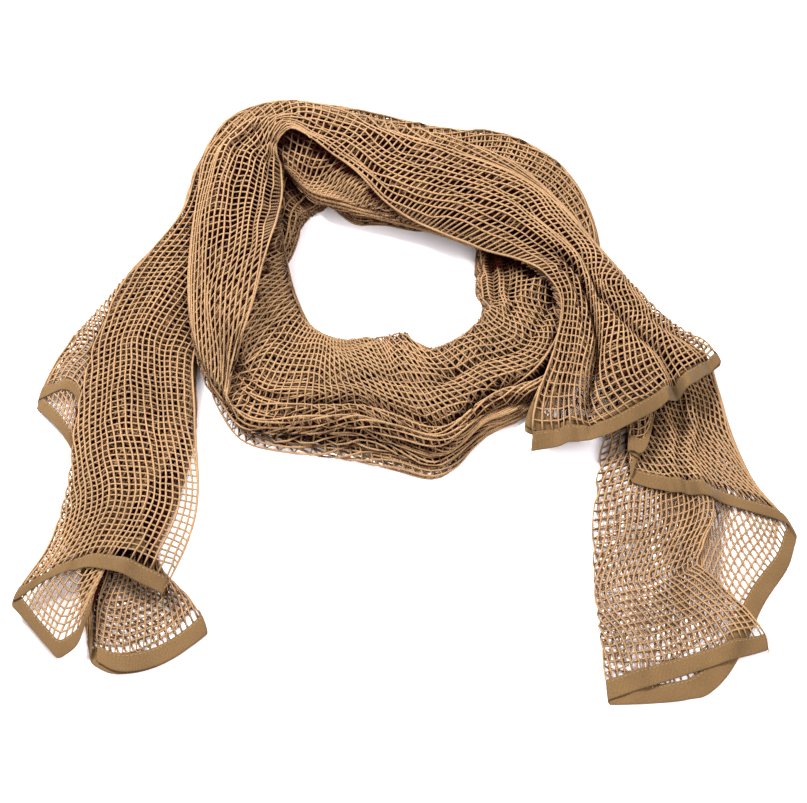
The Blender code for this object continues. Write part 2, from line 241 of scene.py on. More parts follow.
# Pleats and creases of the bundle: soft ridges and troughs that run along it.  Each follows
# four places along the path and across it, and has a height, less than 0 for a trough, and a
# width in half widths of the bundle.
RIDGE = "at_1 across_1 at_2 across_2 at_3 across_3 at_4 across_4 height width"
PLEATS = table(RIDGE, [
    (60,  -.45,  120, -.50,  230, -.60,  330, -.62,  -4, .10),     # left tail
    (150,  .45,  230,  .40,  310,  .30,  360,  .25,  -5, .09),
    (200, -.10,  260, -.15,  330, -.20,  380, -.20,   4, .12),
    (640,  .66,  690,  .76,  730,  .74,  770,  .72, -10, .07),     # turn at the right
    (640,  .38,  690,  .50,  730,  .52,  770,  .42,  -9, .07),
    (735, -.15,  765,  .35,  805,  .80,  845, 1.08,   6, .12),
    (740, -.30,  770, -.15,  815,  .02,  860,  .34,  -9, .08),
    (840,  .31,  910,  .27,  974,  .07, 1042, -.27,  -7, .08),     # bottom band
    (790, -.66,  850, -.42,  950, -.20, 1043, -.42, -18, .07),
    (813, -.90,  860, -.58,  940, -.43, 1042, -.60, -15, .06),
    (829, -1.02, 880, -.72,  950, -.62, 1041, -.76,  -6, .06),
    (940,  .92,  969,  .76, 1000,  .60, 1035,  .40,  -8, .08),
    (1060, -.70, 1110, -.55, 1160, -.60, 1210, -.70,  -5, .10),    # limb
    (1090, -.25, 1130, -.10, 1180, -.12, 1230, -.35,  -5, .10),
    (1110,  .35, 1150,  .45, 1190,  .40, 1225,  .10,  -6, .09),
    (1125,  .62, 1160,  .70, 1195,  .60, 1235,  .20,  -5, .08),
    (1160, -.62, 1192, -.59, 1225, -.50, 1262,  .10,   7, .14),
    (1225,  .55, 1260,  .62, 1300,  .90, 1340, 1.15,  -8, .14),    # top
    (1255, -.60, 1285, -.15, 1320,  .45, 1390,  .95,  -8, .09),
    (1262, -.40, 1300,  .05, 1340,  .62, 1410, 1.05,   6, .11),
    (1290, -.55, 1350, -.05, 1420,  .45, 1500,  .70,  -6, .09),
    (1330, -.82, 1387, -.64, 1442, -.86, 1505, -.95,  -8, .09),
    (1400, -.30, 1450,  .00, 1500,  .15, 1560,  .45,  -6, .09),
    (1440,  .62, 1480,  .80, 1520,  .98, 1560, 1.05,  -8, .08),
    (1520,  .62, 1548,  .70, 1582,  .80, 1618, 1.22, -14, .09),    # fan
    (1533, 1.10, 1570, 1.12, 1598, 1.25, 1630, 1.60,   8, .13),
    (1545,  .35, 1580,  .02, 1612, -.20, 1645, -.30, -11, .10),
    (1535,  .10, 1565, -.45, 1595, -.80, 1620, -.95,  -6, .09),
    (1700,  .60, 1750,  .70, 1800,  .62, 1850,  .70,  -3, .10),    # right tail
    (1690,  .15, 1730,  .10, 1790,  .30, 1840,  .10,   5, .12),
])

# Ridges over which every layer lifts off what it lies on, given like the pleats
LIFTS = table(RIDGE, [
    (1655, -.48, 1668, -.48, 1682, -.34, 1700, -.33,   7, .09),    # right tail
    (1655, -.06, 1671, -.14, 1686, -.07, 1702, -.11,   6, .07),
    (1722, -.40, 1750, -.18, 1790,  .00, 1835, -.32,  10, .15),
    (1722,  .55, 1760,  .72, 1800,  .74, 1840,  .66,   5, .12),
    (75,    .15,   90,  .22,  100,  .28,  115,  .30,   5, .14),    # left tail
])

# Short folds that run across the bundle, as soft bumps: where, how far they reach along it and
# across it, and how high they are
RIPPLES = table("at across along wide height", [
    (452,  .95,  9, .30, -8), (474, .95,  8, .35,  6), (492, .95,  8, .30, -8),
    (512,  .95,  9, .40,  6), (532, .95,  8, .30, -8), (552, .95,  9, .40,  5),
    (500, 1.00, 75, .42, -14),
    (574,  .95,  8, .30, -7), (420, .90, 12, .30,  6), (600, .95, 10, .35,  5),
])

# Where the folds of one side, from first to last, bulge to the right, by so many half widths,
# and how far along the bundle that reaches
BULGES = table("side first last at along bulge", [
    (+1, 0, 8,  915, 14,  .20),
    (+1, 0, 8,  487, 10, -.10),
    (+1, 0, 8,  520, 14,  .08),
    (-1, 0, 8,  826, 10, -.10),
    (-1, 3, 5,  930, 70,  .12),
    (+1, 2, 8,  125, 45, -.30),
    (+1, 8, 8,   85, 30, -.45),
    (-1, 3, 3,  297, 42,  .20),
    (+1, 2, 2, 1570, 38, -.42),
])

# How open to the light the yarns lie, for the shade painted into their colour
DEPTH_SQUARE = 4.0       # size of the squares of the plan that the bundle's top is read in
DEPTH_START = 2.0        # a yarn this deep under a higher panel starts to be shaded,
DEPTH_REACH = 5.0        # and is fully so this much deeper,
DARK_LEVELS = 2.6        # and so is one this many levels under the top one
OPEN_FOLD_SHARE = 0.15   # share of a panel beside a fold that lies open
VALLEY_SQUARES = 5       # squares over which the top is evened out, to tell its valleys
VALLEY_START = 2.5       # a yarn this far under the evened top starts to be shaded,
VALLEY_REACH = 9.0       # and is fully so this much lower

# Yarns, in millimetres
SIDES = 4                # of every yarn and thread
YARN_LIFT = 0.28         # lengthwise yarns lie over the cross yarns by twice this
YARN_END = 12.6          # how far from a hem the yarns end, inside the tape
YARN_END_THIN = 0.6      # their thickness there, against the whole yarn's
SELVEDGE_YARN = 1.2      # thickness of the selvedge yarns, against the others'
YARN_UNEVENNESS = 0.45   # how far a crossing strays from its neighbours,
YARN_PATCH = (5, 3)      # evened out over so many crossings along the net and across it
CLOTH_UNEVENNESS = 1.6   # how far a patch of the net strays from its even place,
CLOTH_PATCH = (25, 15)   # evened out over so many

# Tape and thread, in millimetres
STATIONS = 480           # cross sections of a tape along its hem
TAPE_PUCKER = 0.55       # how far the stitching puckers the tape,
PUCKER_STATIONS = 9      # evened out over so many cross sections
SEAM_AT = 12.2           # the row of stitches, from the folded edge
STITCH_PITCH = 3.4
STITCH_REACH = 0.34      # of a stitch either way from its middle, in pitches
STITCH_RADIUS = 0.27
STITCH_END = 0.4         # a stitch's thickness at its ends, against its middle's
FRAY_THREADS = 5         # loose ends at a cut corner of the tape
FRAY_POINTS = 9          # of each loose end's line
FRAY_REACH = (2.5, 7.0)  # its least and most length
FRAY_LEAN = 0.8          # how far a loose end may lean sideways, against its reach
FRAY_CURL = 2.2
FRAY_FLATNESS = 0.3      # upright share of a loose end's curl
FRAY_RADIUS = 0.16

# Sizes of the patterns in the materials, in millimetres
YARN_TWIST = 1.9         # length of one turn of the plies
DYE_PATCH = 45.0
FLUFF_SIZE = 1.6
RIB_PITCH = 1.1
NOISE_SPAN = (0.3, 0.7)  # where nearly all the values of a noise lie

# The stage, in metres
FLOOR_SIZE = 24.0
KEY_PLACE = (-1.0, 0.95, 1.7)
KEY_SIZE = 0.6
FILL_PLACE = (1.2, -0.6, 2.0)
FILL_SIZE = 2.0
CAMERA_DISTANCE = 2.4
CAMERA_ELEVATION = math.radians(68)
PIXEL_SIZE = 0.8 * MM    # of the view, at the scarf's middle
VIEW_WIDTH = 807
VIEW_HEIGHT = 803
CENTRE_X = 404           # where the scarf's middle lies in the view, in pixels
CENTRE_Y = 400

# The tape's cross section: distance from its folded edge, and half its thickness there
TAPE_PROFILE = table("from_hem half", [
    (0.0, .32), (0.4, .56), (1.5, .66), (4.0, .70), (8.0, .70), (11.2, .68), (12.3, .54),
    (13.4, .66), (14.0, .34),
])

# Places of the sections along the bundle's middle line, and the levels beside each fold
PATH_X = (SECTIONS["left_x"] + SECTIONS["right_x"]) / 2
PATH_Y = (SECTIONS["left_y"] + SECTIONS["right_y"]) / 2
SECTION_AT = np.append(0, np.cumsum(np.hypot(np.diff(PATH_X), np.diff(PATH_Y))))
LEVEL_BEFORE = np.append(PANEL_LEVEL[0], PANEL_LEVEL)
LEVEL_AFTER = np.append(PANEL_LEVEL, PANEL_LEVEL[-1])
FOLD_LEVEL = (LEVEL_BEFORE + LEVEL_AFTER) / 2
SINK_LEVEL = np.minimum(LEVEL_BEFORE, LEVEL_AFTER)
SINK_LEVEL[0] = SINK_LEVEL[2]  # the top selvedge lies on the fold under it


def linear(hex_colour):
    """A hex colour as linear red, green and blue: the usual sRGB curve, undone."""
    parts = [int(hex_colour[i:i + 2], 16) / 255 for i in (1, 3, 5)]
    return tuple(c / 12.92 if c <= 0.04045 else ((c + 0.055) / 1.055) ** 2.4 for c in parts)


# ------------------------ where the cloth lies

def smooth(x):
    """0 below 0, 1 above 1, and an S between them: 3x^2 - 2x^3."""
    x = np.clip(x, 0, 1)
    return x * x * (3 - 2 * x)


def along(places, values, at, run_on=0):
    """A cubic through every row, as steep there as the parabola through it and its neighbours."""
    slopes = np.gradient(values, places)
    row = np.clip(np.searchsorted(places, at, side="right") - 1, 0, len(places) - 2)
    span = places[row + 1] - places[row]
    f = (np.clip(at, places[0] - run_on, places[-1] + run_on) - places[row]) / span
    return ((1 + 2 * f) * (1 - f) ** 2 * values[row] + f * (1 - f) ** 2 * span * slopes[row]
            + f * f * (3 - 2 * f) * values[row + 1] - f * f * (1 - f) * span * slopes[row + 1])


def read(rows, column, at):
    """One column of a table at a place along the path."""
    return along(rows["at"], rows[column], at)


def near_edge(across):
    """0 in the middle of the bundle, 1 at its edges and beyond them, and an S between."""
    return smooth((np.abs(across) - TAPER_START) / (1 - TAPER_START))


def bell(distance, reach):
    """A bell curve, exp(-(distance / reach)^2)."""
    return np.exp(-(distance / reach) ** 2)


def panel_of(v):
    """The panel that a coordinate across the cloth lies in."""
    return np.clip(np.floor(v).astype(int), 0, PANELS - 1)


def place_along(panel, u, s):
    """Where a point of the cloth lies along the path, before the cross yarns' lead.

    It runs evenly from hem to hem.  A hem's slant, from fold to fold, fades along the cloth with
    the square of the distance from the other hem, and its bow with the sixth power.
    """
    share = s / CLOTH_LENGTH
    first, second = FOLDS[panel], FOLDS[panel + 1]
    left_slant = first["left_at"] * (1 - u) + second["left_at"] * u - LEFT_HEM_AT
    right_slant = first["right_at"] * (1 - u) + second["right_at"] * u - RIGHT_HEM_AT
    return (LEFT_HEM_AT * (1 - share) + RIGHT_HEM_AT * share
            + left_slant * (1 - share) ** SLANT_FADE + right_slant * share ** SLANT_FADE
            + hem_bow(LEFT_HEM, panel, u) * (1 - share) ** BOW_FADE
            + hem_bow(RIGHT_HEM, panel, u) * share ** BOW_FADE)


def hem_bow(hem, panel, u):
    """How far a hem bows out at a share u of a panel's width."""
    bow = np.zeros(u.shape)
    for number, rows in hem.items():
        shares, bows = np.array([(0, 0), *rows, (1, 0)], float).T
        bow = np.where(panel == number, along(shares, bows, u), bow)
    return bow


def fold_across(fold, at, s):
    """Where a fold lies across the bundle, in half widths from its middle.

    Between the tails it follows its edge, drawn in by the tuck times its level squared, and
    towards a hem it blends to its place there.  A bulge shifts it by a bell curve along the
    bundle.  The selvedges follow their own tables.
    """
    side = FOLDS["side"][fold]
    tuck = np.where(side < 0, read(PACKING, "left_tuck", at), read(PACKING, "right_tuck", at))
    across = side * (1 - tuck * (FOLD_LEVEL[fold] / TOP_LEVEL) ** 2)
    left = smooth(1 - s / END_FADE)
    right = smooth(1 - (CLOTH_LENGTH - s) / END_FADE)
    across = (across * (1 - left - right) + FOLDS["left_across"][fold] * left
              + FOLDS["right_across"][fold] * right)
    for bulge in BULGES:
        bulging = (side == bulge["side"]) & (fold >= bulge["first"]) & (fold <= bulge["last"])
        across = across + bulging * bulge["bulge"] * bell(at - bulge["at"], bulge["along"])
    across = np.where(fold == 0, read(TOP_SELVEDGE, "across", at), across)
    return np.where(fold == PANELS, read(LAST_SELVEDGE, "across", at), across)


def ridges(rows, at, across):
    """Height of a table's ridges, less than 0 in a trough.

    A ridge is a bell curve across the bundle that rises and fades along it.
    """
    height = 0
    for ridge in rows:
        places = np.array([ridge["at_" + n] for n in "1234"])
        centre = along(places, np.array([ridge["across_" + n] for n in "1234"]), at)
        shown = (smooth((at - places[0] + PLEAT_FADE) / PLEAT_FADE)
                 * smooth((places[3] + PLEAT_FADE - at) / PLEAT_FADE))
        height = height + ridge["height"] * shown * bell(across - centre, ridge["width"])
    return height


def stack_height(at, across):
    """Height of the top panel over the surface or the turn that the bundle lies on.

    It is the panels' steps, which taper towards the edges, a crown, the pleats and the ripples.
    """
    crown = np.maximum(1 - (across / CROWN_REACH) ** 2, 0) ** CROWN_ROUNDNESS
    steps = TOP_LEVEL * read(PACKING, "step", at)
    height = (steps * (1 - read(PACKING, "taper", at) * near_edge(across))
              + read(PACKING, "crown", at) * crown + ridges(PLEATS, at, across))
    for ripple in RIPPLES:
        height = height + (ripple["height"] * bell(at - ripple["at"], ripple["along"])
                           * bell(across - ripple["across"], ripple["wide"]))
    return np.maximum(height, FLATTEST_STACK)


def panel_height(level, stack, hollow):
    """A panel's share of the stack by its level, and lower under the top where it is hollow."""
    return level / TOP_LEVEL * stack * (1 - hollow * (level < TOP_LEVEL))


def cloth(s, v):
    """A point of the cloth in millimetres: s runs along its length, v across from 0 to 9 panels.

    Panels share the height of the stack by their level.  At a fold the cloth turns the corner in
    two quarter ellipses, half the gap between the panels high.  The cross yarns lead in
    proportion to their place across the bundle.  In the leaning panel the yarns are shifted by
    lean * sin(pi share), with lean = t exp(1 - t) for the distance t from the hem.
    """
    s, v = np.broadcast_arrays(np.asarray(s, float), np.asarray(v, float))
    panel = panel_of(v)
    u = v - panel
    flat = np.clip((u - FOLD_SHARE) / (1 - 2 * FOLD_SHARE), 0, 1)
    from_hem = (CLOTH_LENGTH - s) / LEAN_REACH
    lean = LEAN * (panel == LEANING_PANEL) * from_hem * np.exp(1 - from_hem)
    flat = flat + lean * np.sin(np.pi * flat)
    unled = place_along(panel, u, s)
    at = unled
    for _ in range(LEAD_STEPS):
        lies_at = fold_across(panel, at, s) * (1 - flat) + fold_across(panel + 1, at, s) * flat
        at = unled + read(COURSE, "lead", unled) * lies_at
    left, right = [np.stack([along(SECTION_AT, SECTIONS[side + axis], at, SECTION_RUN_ON)
                             for axis in ("x", "y", "rise")]) for side in ("left_", "right_")]
    middle_x, middle_y, middle_rise = (left + right) / 2
    out_x, out_y, out_rise = (right - left) / 2
    half_width = np.hypot(out_x, out_y)

    start, end = fold_across(panel, at, s), fold_across(panel + 1, at, s)
    stack = stack_height(at, start * (1 - flat) + end * flat)
    hollow = read(PACKING, "hollow", at)
    height = panel_height(PANEL_LEVEL[panel], stack, hollow)
    across, corner = 0, 0
    for fold, beside, fold_at, share, from_fold in (
            (panel, LEVEL_BEFORE[panel], start, 1 - flat, u),
            (panel + 1, LEVEL_AFTER[panel + 1], end, flat, 1 - u)):
        rise = (panel_height(beside, stack, hollow) - height) / 2
        reach = np.abs(rise) * FOLD_SQUEEZE / half_width * FOLDS["side"][fold]
        turn = np.clip(from_fold / FOLD_SHARE, 0, 1) * np.pi / 2
        across = across + (fold_at - reach) * share + reach * np.cos(turn)
        corner = corner + rise * (1 - np.sin(turn))
    outer_fold = np.where(across * FOLDS["side"][panel] > 0, panel, panel + 1)
    sink = smooth((np.abs(across) - SINK_START) / SINK_REACH)
    step = read(PACKING, "step", at) * (1 - read(PACKING, "taper", at))
    height = height + corner - step * SINK_LEVEL[outer_fold] * sink

    carried = middle_rise + np.clip(across, -1, 1) * out_rise
    carried = np.maximum(carried * (1 - DROOP * near_edge(across)), 0)
    return np.stack([middle_x + across * out_x - BOX_CENTRE_X,
                     middle_y + across * out_y - BOX_CENTRE_Y,
                     CLEARANCE + carried + height + ridges(LIFTS, at, across)], -1)


def running_length(points, weights=1):
    """How far along its line each point lies, for lines on the last axis but one."""
    gaps = np.linalg.norm(np.diff(points, axis=-2), axis=-1) * weights
    return np.concatenate([np.zeros_like(gaps[..., :1]), np.cumsum(gaps, axis=-1)], axis=-1)


def course(column, s):
    """One column of the yarns' course at a place along the cloth, between straight hems."""
    return read(COURSE, column, LEFT_HEM_AT + s / CLOTH_LENGTH * (RIGHT_HEM_AT - LEFT_HEM_AT))


def spread(s, shares):
    """Panel coordinate of places given as shares of the cloth's width, measured along its folds.

    Each row's running length, in which the panels under the open ones count more where they are
    crowded, is turned into a share of the whole, evened out over its neighbour rows, and read
    backwards.
    """
    places = np.linspace(0, PANELS - 1e-6, MESHES_ACROSS * CELL_SAMPLES + 1)
    crowding = np.where(places[1:] < OPEN_PANELS, 1, course("crowding", s)[:, None])
    length = running_length(cloth(s[:, None], places), crowding)
    share = evened(length / length[:, -1:], 0, SAMPLED_ROWS)
    return np.stack([np.interp(wanted, row, places) for wanted, row in zip(shares, share)])


def evened(values, axis, count):
    """A running mean of that many neighbours along an axis, the nearest counting most."""
    reach = count // 2
    weights = 1 + reach - np.abs(np.arange(count) - reach)
    pad = [(0, 0)] * values.ndim
    pad[axis] = (reach, reach)
    padded = np.pad(values, pad, mode="edge")
    rows = values.shape[axis]
    parts = [np.take(padded, np.arange(i, i + rows), axis) * w for i, w in enumerate(weights)]
    return sum(parts) / weights.sum()


def wander(shape, seed, patch):
    """A soft random drift, about 1 in size, evened out over a patch of so many rows and columns."""
    noise = np.random.default_rng(seed).normal(size=shape)
    noise = evened(evened(noise, 0, patch[0]), 1, patch[1])
    return noise / noise.std()


def crossings():
    """Where the yarns cross: points, unit normals and how open each lies, as rows by columns."""
    s = YARN_END + np.linspace(0, 1, MESHES_ALONG + 1) * (CLOTH_LENGTH - 2 * YARN_END)
    shares = np.linspace(0, 1, MESHES_ACROSS + 1)
    shape = (MESHES_ALONG + 1, MESHES_ACROSS + 1)
    drift = (YARN_UNEVENNESS * wander(shape, 3, YARN_PATCH)
             + CLOTH_UNEVENNESS * wander(shape, 5, CLOTH_PATCH)) / CLOTH_WIDTH
    drift[:, [0, -1]] = 0
    v = spread(s, np.clip(shares + drift, 0, 1))
    v = v + course("stray", s)[:, None] * np.sin(np.pi * v)
    drift = (YARN_UNEVENNESS * wander(shape, 4, YARN_PATCH)
             + CLOTH_UNEVENNESS * wander(shape, 6, CLOTH_PATCH[::-1]))
    drift[[0, -1]] = 0
    points = cloth(s[:, None] + drift, v)
    return points, facing(points), openness(points, v)


def unit(vectors):
    """Vectors with the same directions, 1 long."""
    return vectors / (np.linalg.norm(vectors, axis=-1, keepdims=True) + 1e-9)


def facing(points):
    """Unit normals of a grid of points: the cross product of its two slopes."""
    return unit(np.cross(np.gradient(points, axis=0), np.gradient(points, axis=1)))


def openness(points, v):
    """How open to the light each point lies, for the shade painted on the yarns: 1 outside the
    bundle, 0 deep inside it.

    The bundle's top is read from the points themselves, in squares of the plan.  A point is
    shaded by how many levels it lies under the top one there, by its depth under a higher panel,
    and in a valley by how far it lies under the mean top of the squares around it, the floor's
    among them.  Folds face outwards, so they count as open.
    """
    square = np.floor(points[..., :2] / DEPTH_SQUARE).astype(int)
    square -= square.min(axis=(0, 1)) - VALLEY_SQUARES
    x, y = square[..., 0], square[..., 1]
    size = (x.max() + 1 + VALLEY_SQUARES, y.max() + 1 + VALLEY_SQUARES)
    level = PANEL_LEVEL[panel_of(v)]
    top, top_level = np.zeros(size), np.zeros(size, int)
    np.maximum.at(top, (x, y), points[..., 2])
    np.maximum.at(top_level, (x, y), level)
    around = evened(evened(top, 0, VALLEY_SQUARES), 1, VALLEY_SQUARES)
    under = top_level[x, y] - level
    covered = smooth(under / DARK_LEVELS)
    deep = (under > 0) * smooth((top[x, y] - points[..., 2] - DEPTH_START) / DEPTH_REACH)
    valley = smooth((around[x, y] - points[..., 2] - VALLEY_START) / VALLEY_REACH)
    from_fold = np.minimum(v % 1, 1 - v % 1) / OPEN_FOLD_SHARE
    # Painted shade: covered, deep and valley points get a low openness, which darkens the yarn's
    # colour
    return 1 - np.maximum(np.maximum(covered, deep), valley) * smooth(from_fold)


# ------------------------ yarns, tape and thread

def tubes(lines, normals, radii, lift=0):
    """Tubes along many lines at once, closed at both ends, as points, faces and facts.

    A ring's points lie round the line at centre + radius * (normal * cos a + side * sin a), with
    side = direction x normal.  Facts are each point's length along its line, and cos a, sin a.
    """
    direction = unit(np.gradient(lines, axis=1))
    side = unit(np.cross(direction, normals))
    up = np.cross(side, direction)
    angle = np.arange(SIDES) * 2 * np.pi / SIDES
    cos, sin = np.cos(angle)[:, None], np.sin(angle)[:, None]
    radii = np.broadcast_to(radii, lines.shape[:2])[..., None, None]
    lift = np.broadcast_to(lift, lines.shape[:2])[..., None]
    rings = ((lines + lift * normals)[:, :, None]
             + radii * (up[:, :, None] * cos + side[:, :, None] * sin))
    corner = np.arange(rings.size // 3).reshape(rings.shape[:3])
    here, there = corner[:, :-1], corner[:, 1:]
    walls = np.stack([here, np.roll(here, -1, 2), np.roll(there, -1, 2), there], -1)
    faces = np.concatenate([walls.reshape(-1, SIDES), corner[:, 0, ::-1], corner[:, -1]])
    facts = np.broadcast_arrays(running_length(lines)[..., None], cos[:, 0], sin[:, 0])
    return rings.reshape(-1, 3), faces, np.stack(facts, -1).reshape(-1, 3)


def tape(points, normals):
    """A folded tape on a grid of points from its folded edge inwards, along its hem.

    Its closed cross section goes inwards on the back and outwards on the front, at
    point +- half thickness * normal.  Facts are the lengths along the hem and across the tape.
    """
    half = TAPE_PROFILE["half"][:, None, None]
    rings = np.concatenate([(points + half * normals)[::-1], points - half * normals])
    corner = np.arange(rings.size // 3).reshape(rings.shape[:2])
    beside = np.roll(corner, -1, 0)
    walls = np.stack([corner[:, :-1], corner[:, 1:], beside[:, 1:], beside[:, :-1]], -1)
    front = np.arange(len(TAPE_PROFILE) - 1)
    back = len(rings) - 1 - front
    quads = np.stack([front, front + 1, back - 1, back], -1)
    ends = np.concatenate([corner[quads, 0], corner[quads[:, ::-1], -1]])
    across = np.concatenate([TAPE_PROFILE["from_hem"][::-1], -TAPE_PROFILE["from_hem"]])
    facts = np.broadcast_arrays(running_length(points[len(points) // 2]), across[:, None], 0)
    return (rings.reshape(-1, 3), np.concatenate([walls.reshape(-1, 4), ends]),
            np.stack(facts, -1).reshape(-1, 3))


def stitches(points, normals, half):
    """A running stitch along a line of points on both faces of a tape, as short tubes.

    The line is read at even lengths, one pitch apart, with a gap between the stitches.
    """
    length = running_length(points)
    middles = np.arange(STITCH_PITCH, length[-1] - STITCH_PITCH, STITCH_PITCH)
    places = middles[:, None] + STITCH_PITCH * np.array([-STITCH_REACH, 0, STITCH_REACH])
    on_line, outwards = [
        np.stack([np.interp(places, length, values[:, i]) for i in range(3)], -1)
        for values in (points, normals)]
    lines = np.concatenate([on_line + half * outwards, on_line - half * outwards])
    return tubes(lines, np.concatenate([outwards, -outwards]),
                 STITCH_RADIUS * np.array([STITCH_END, 1, STITCH_END]))


def frays(corner, outwards, sideways, seed):
    """Loose thread ends at a cut corner: short curls, start + way * t + curl * t^2."""
    random = np.random.default_rng(seed)
    t = np.linspace(0, 1, FRAY_POINTS)[:, None]
    reach = random.uniform(*FRAY_REACH, (FRAY_THREADS, 1, 1))
    curl = random.normal(0, FRAY_CURL, (FRAY_THREADS, 1, 3)) * (1, 1, FRAY_FLATNESS)
    lean = random.uniform(-FRAY_LEAN, FRAY_LEAN, (FRAY_THREADS, 1, 1))
    lines = corner + (unit(outwards) + lean * unit(sideways)) * reach * t + curl * t ** 2
    upright = np.broadcast_to((0.0, 0.0, 1.0), lines.shape)
    return tubes(lines, upright, FRAY_RADIUS)


def mesh_piece(name, parts, materials):
    """One mesh object made of parts, each (points in mm, faces, facts, openness, material)."""
    points, faces, facts, opens, used = zip(*parts)
    starts = np.cumsum([0, *map(len, points)])
    slots = np.repeat([materials.index(material) for material in used], [*map(len, faces)])
    opens = np.concatenate([np.broadcast_to(value, len(own)) for value, own in zip(opens, points)])
    faces = np.concatenate([own + start for own, start in zip(faces, starts)])
    points, facts = np.concatenate(points) * MM, np.concatenate(facts)
    mesh = bpy.data.meshes.new(name)
    mesh.vertices.add(len(points))
    mesh.vertices.foreach_set("co", points.ravel())
    mesh.loops.add(faces.size)
    mesh.loops.foreach_set("vertex_index", faces.ravel().astype(np.int32))
    mesh.polygons.add(len(faces))
    mesh.polygons.foreach_set("loop_start", np.arange(len(faces), dtype=np.int32) * 4)
    mesh.polygons.foreach_set("material_index", slots.astype(np.int32))
    mesh.attributes.new("lay", "FLOAT_VECTOR", "POINT").data.foreach_set("vector", facts.ravel())
    mesh.attributes.new("open", "FLOAT", "POINT").data.foreach_set("value", opens)
    mesh.update(calc_edges=True)
    mesh.shade_smooth()
    for material in materials:
        mesh.materials.append(material)
    piece = bpy.data.objects.new(name, mesh)
    bpy.context.scene.collection.objects.link(piece)
    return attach(piece, "root")


# ------------------------ materials

def add(tree, kind, sockets=(), **settings):
    """Adds a node: settings are its own properties, and each socket gets a value or a link."""
    node = tree.nodes.new("ShaderNode" + kind)
    for key, value in settings.items():
        setattr(node, key, value)
    for key, value in dict(sockets).items():
        if isinstance(value, bpy.types.NodeSocket):
            tree.links.new(value, node.inputs[key])
        else:
            node.inputs[key].default_value = value
    return node


def plain_material(name, sockets):
    """A new material, its nodes and its Principled shader, with the shader's own sockets set."""
    material = bpy.data.materials.new(name)
    material.use_nodes = True
    shader = material.node_tree.nodes["Principled BSDF"]
    for key, value in sockets.items():
        shader.inputs[key].default_value = value
    return material, material.node_tree, shader


def vary(tree, shader, colour, *factors):
    """Gives the shader a colour times its factors, each (socket, low, high, darkest, lightest).

    A factor's socket is turned from low .. high into darkest .. lightest.
    """
    for socket, low, high, darkest, lightest in factors:
        factor = add(tree, "MapRange", {"Value": socket, "From Min": low, "From Max": high,
                                        "To Min": darkest, "To Max": lightest})
        colour = add(tree, "VectorMath", {0: colour, "Scale": factor.outputs[0]},
                     operation="SCALE").outputs[0]
    tree.links.new(colour, shader.inputs["Base Color"])


def spun_yarn(look):
    """Spun polyester yarn, two plies twisted and dyed tan: matt, and a little hairy.

    The twist is a ridge that winds round the yarn, sin(angle + 2 pi length / twist); its groove is
    darkened and its crest lightened in the colour, as painted shade and highlight.
    Yarns deep in the bundle take the shaded colour, as painted shade, and the dye varies softly
    over the cloth.
    """
    material, tree, shader = plain_material("spun polyester yarn", {
        "Roughness": 0.85, "IOR": 1.5, "Specular IOR Level": 0.15, "Sheen Weight": 0.06,
        "Sheen Roughness": 0.5})
    lay = add(tree, "Attribute", attribute_name="lay").outputs["Vector"]
    split = add(tree, "SeparateXYZ", {0: lay}).outputs
    turns = add(tree, "Math", {0: split["X"], 1: 2 * math.pi / YARN_TWIST},
                operation="MULTIPLY").outputs[0]
    sine = add(tree, "Math", {0: turns}, operation="SINE").outputs[0]
    cosine = add(tree, "Math", {0: turns}, operation="COSINE").outputs[0]
    first = add(tree, "Math", {0: sine, 1: split["Y"]}, operation="MULTIPLY").outputs[0]
    ply = add(tree, "Math", {0: cosine, 1: split["Z"], 2: first},
              operation="MULTIPLY_ADD").outputs[0]
    bump = add(tree, "Bump", {"Strength": 0.5, "Distance": 0.15 * MM, "Height": ply})
    tree.links.new(bump.outputs[0], shader.inputs["Normal"])

    place = add(tree, "TexCoord").outputs["Object"]
    dye = add(tree, "TexNoise", {"Vector": place, "Scale": 1 / (DYE_PATCH * MM), "Detail": 3.0})
    fluff = add(tree, "TexNoise", {"Vector": place, "Scale": 1 / (FLUFF_SIZE * MM), "Detail": 1.0})
    # Painted shade: yarns with a low openness take the darker shaded colour
    open_to_light = add(tree, "Attribute", attribute_name="open").outputs["Fac"]
    shaded = add(tree, "Mix", {"Factor": open_to_light, "A": (*look.shaded_colour, 1),
                               "B": (*look.yarn_colour, 1)}, data_type="RGBA")
    # The twist's groove is darkened and its crest lightened: painted shade and highlight; the dye
    # and fluff noise are the yarn's own uneven tone
    vary(tree, shader, shaded.outputs["Result"], (dye.outputs["Fac"], *NOISE_SPAN, 0.86, 1.10),
         (fluff.outputs["Fac"], *NOISE_SPAN, 0.85, 1.12), (ply, -1, 1, 0.86, 1.06))
    return material


